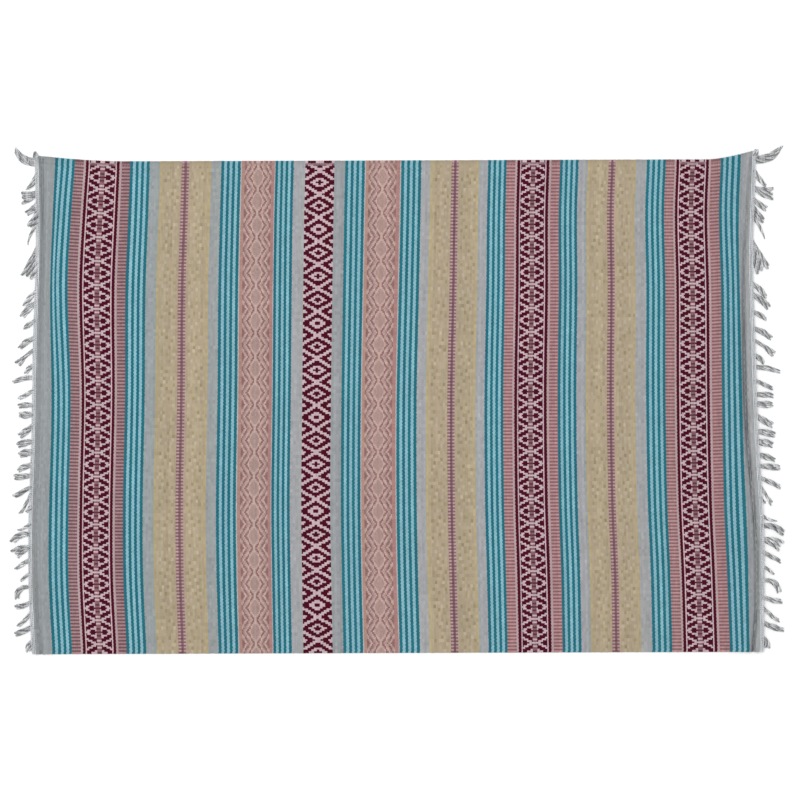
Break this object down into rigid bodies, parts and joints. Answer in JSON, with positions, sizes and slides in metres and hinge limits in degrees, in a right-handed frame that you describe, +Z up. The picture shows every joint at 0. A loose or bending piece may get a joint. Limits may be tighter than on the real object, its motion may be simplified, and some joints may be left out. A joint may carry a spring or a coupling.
{
  "type": "kilim rug",
  "caption": "Flat-woven cotton kilim rug in teal, grey, beige, rose and maroon stripes with lozenge bands and knotted fringes at both ends, lying flat.",
  "frame": {"origin": "under the middle of the rug with its fringes, on the floor it lies on", "axes": "+X along the long side, +Y across the rug, +Z up out of the floor"},
  "size_m": [1.9216, 1.2612, 0.0065],
  "materials": {
    "woven_cotton": "matt weft-faced cotton weave, striped across the rug, with charted lozenge bands",
    "undyed_yarn": "matt twisted cotton warp yarn in pale grey"
  },
  "bodies": {
    "root": {"rug_cloth": "woven_cotton", "fringe_left": "undyed_yarn", "fringe_right": "undyed_yarn"}
  },
  "joints": []
}
